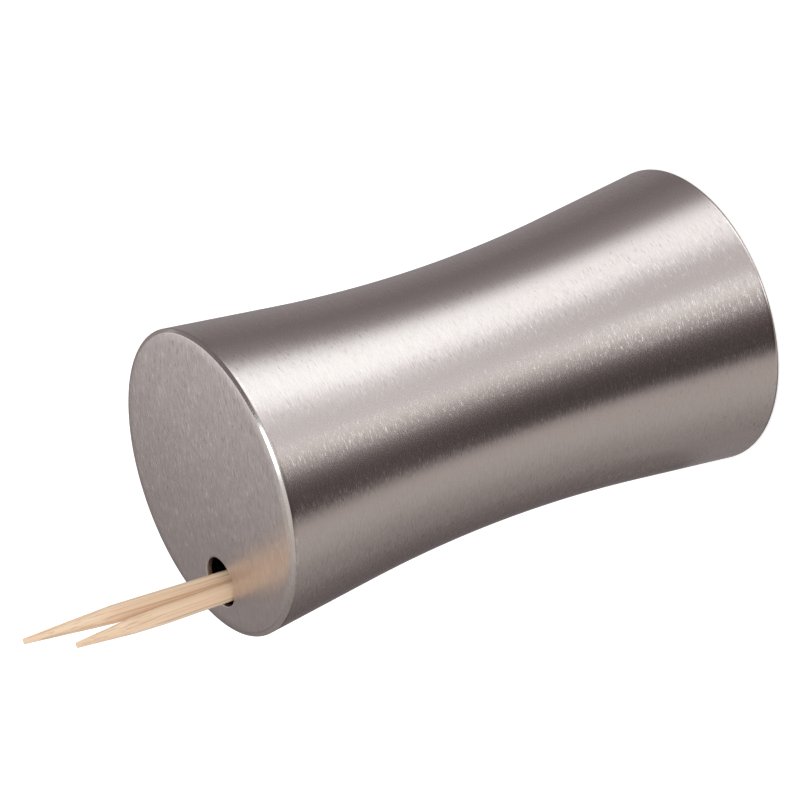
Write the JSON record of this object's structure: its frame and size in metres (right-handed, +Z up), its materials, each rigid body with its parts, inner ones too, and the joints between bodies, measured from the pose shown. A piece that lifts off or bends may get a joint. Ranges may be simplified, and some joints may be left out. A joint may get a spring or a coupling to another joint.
{
  "type": "toothpick holder",
  "caption": "Hourglass toothpick dispenser of brushed steel with an off-centre outlet in its flat top, sliding picks and a soft filling plug in its base.",
  "frame": {"origin": "centre of the base, on the surface that the holder stands on", "axes": "+Z up along the holder's axis, from the base to the top with the outlet; the outlet lies towards -Y of the axis"},
  "size_m": [0.0398, 0.0398, 0.0999],
  "materials": {
    "brushed_side": "satin, grain running round the body",
    "brushed_top": "satin, straight grain across the face",
    "brushed_base": "satin",
    "soft_plug": "matt, soft",
    "birch": "bare"
  },
  "bodies": {
    "holder": {"body_shell": "brushed_side", "top_plate": "brushed_top", "base_plate": "brushed_base"},
    "plug": {"filler_plug": "soft_plug"},
    "pick_1": {"outlet_pick_1": "birch"},
    "pick_2": {"outlet_pick_2": "birch"},
    "stock": {"loose_pick_01": "birch", "loose_pick_02": "birch", "loose_pick_03": "birch", "loose_pick_04": "birch", "loose_pick_05": "birch", "loose_pick_06": "birch", "loose_pick_07": "birch", "loose_pick_08": "birch", "loose_pick_09": "birch", "loose_pick_10": "birch", "loose_pick_11": "birch", "loose_pick_12": "birch", "loose_pick_13": "birch", "loose_pick_14": "birch", "loose_pick_15": "birch", "loose_pick_16": "birch", "loose_pick_17": "birch", "loose_pick_18": "birch", "loose_pick_19": "birch", "loose_pick_20": "birch", "loose_pick_21": "birch", "loose_pick_22": "birch", "loose_pick_23": "birch", "loose_pick_24": "birch"}
  },
  "joints": [
    {"name": "pick_1_slide", "type": "slide", "parent": "holder", "child": "pick_1", "axis": [-0.0895, 0.0142, 0.9959], "range_m": [-0.032, 0.04]},
    {"name": "pick_2_slide", "type": "slide", "parent": "holder", "child": "pick_2", "axis": [-0.0983, -0.0301, 0.9947], "range_m": [-0.0265, 0.0456]},
    {"name": "stock_shift", "type": "slide", "parent": "holder", "child": "stock", "axis": [0, 0, 1], "range_m": [0, 0.0028]},
    {"name": "plug_pull", "type": "slide", "parent": "holder", "child": "plug", "axis": [0, 0, -1], "range_m": [0, 0.008]}
  ]
}
